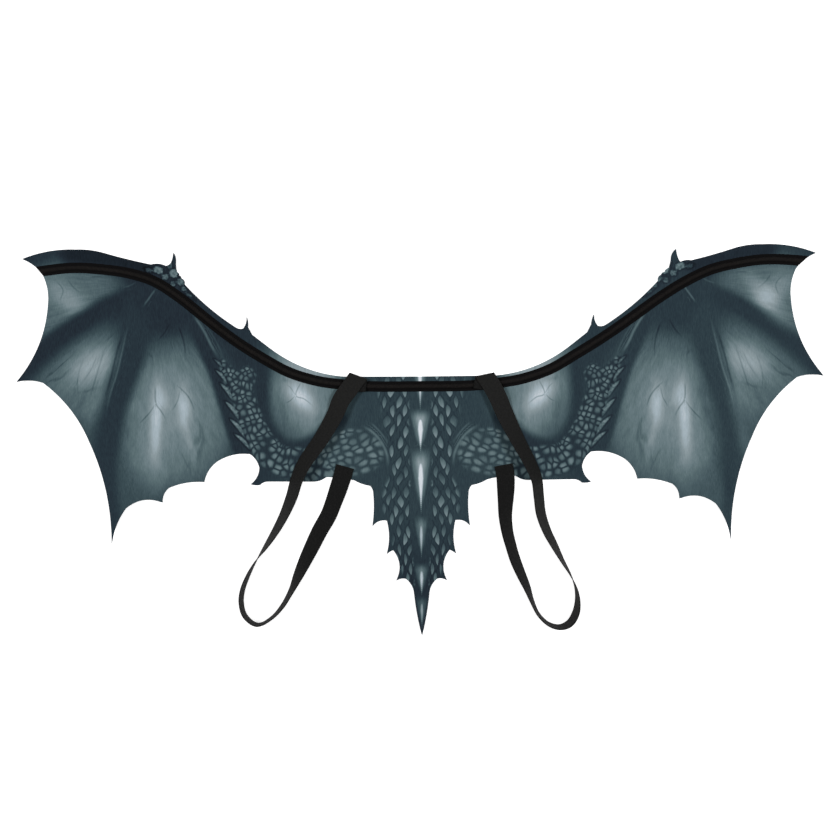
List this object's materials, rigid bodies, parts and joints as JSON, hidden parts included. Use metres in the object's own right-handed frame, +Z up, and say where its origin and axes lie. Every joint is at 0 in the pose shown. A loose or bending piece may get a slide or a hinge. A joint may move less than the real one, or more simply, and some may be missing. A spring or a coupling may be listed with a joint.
{
  "type": "costume dragon wings",
  "caption": "Flat felt costume wings with a pointed tail, a boned leading edge and two elastic shoulder straps, lying strap side up.",
  "frame": {"origin": "on the surface that the wings lie on, in the middle of the rectangle that they cover", "axes": "+X along the span to the right as seen from the strap side, +Y up the body towards the leading edge, +Z up out of the surface, on the side of the straps"},
  "size_m": [1.1, 0.5311, 0.025],
  "materials": {
    "printed_felt": "matt printed non-woven felt",
    "casing_tape": "matt woven tape",
    "strap_elastic": "dull woven elastic"
  },
  "bodies": {
    "root": {"wing_panel": "printed_felt", "boning_casing": "casing_tape", "left_strap": "strap_elastic", "right_strap": "strap_elastic"}
  },
  "joints": []
}
